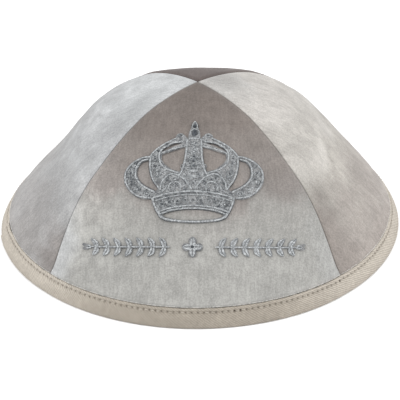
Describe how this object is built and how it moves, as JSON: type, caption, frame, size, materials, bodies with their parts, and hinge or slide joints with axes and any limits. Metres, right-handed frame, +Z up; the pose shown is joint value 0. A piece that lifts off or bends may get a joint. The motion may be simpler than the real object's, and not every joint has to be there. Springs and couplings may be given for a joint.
{
  "type": "velvet kippah",
  "caption": "Round dome-shaped velvet cap sewn from gores, with a folded edge tape and raised silver embroidery on its front gore.",
  "frame": {"origin": "centre of the cap's round edge, on the surface it rests on", "axes": "+Z up through the crown, front gore towards -Y, +X to the right of someone facing the front gore"},
  "size_m": [0.1693, 0.1692, 0.0637],
  "materials": {
    "velvet_front": "velvet pile",
    "velvet_side": "velvet pile",
    "velvet_back": "velvet pile",
    "edge_tape": "twill",
    "silver_thread": "satin stitch"
  },
  "bodies": {
    "root": {"panel_front": "velvet_front", "panel_right": "velvet_side", "panel_back": "velvet_back", "panel_left": "velvet_side", "rim_binding": "edge_tape", "crown_embroidery": "silver_thread", "sprig_left": "silver_thread", "rosette": "silver_thread", "sprig_right": "silver_thread"}
  },
  "joints": []
}
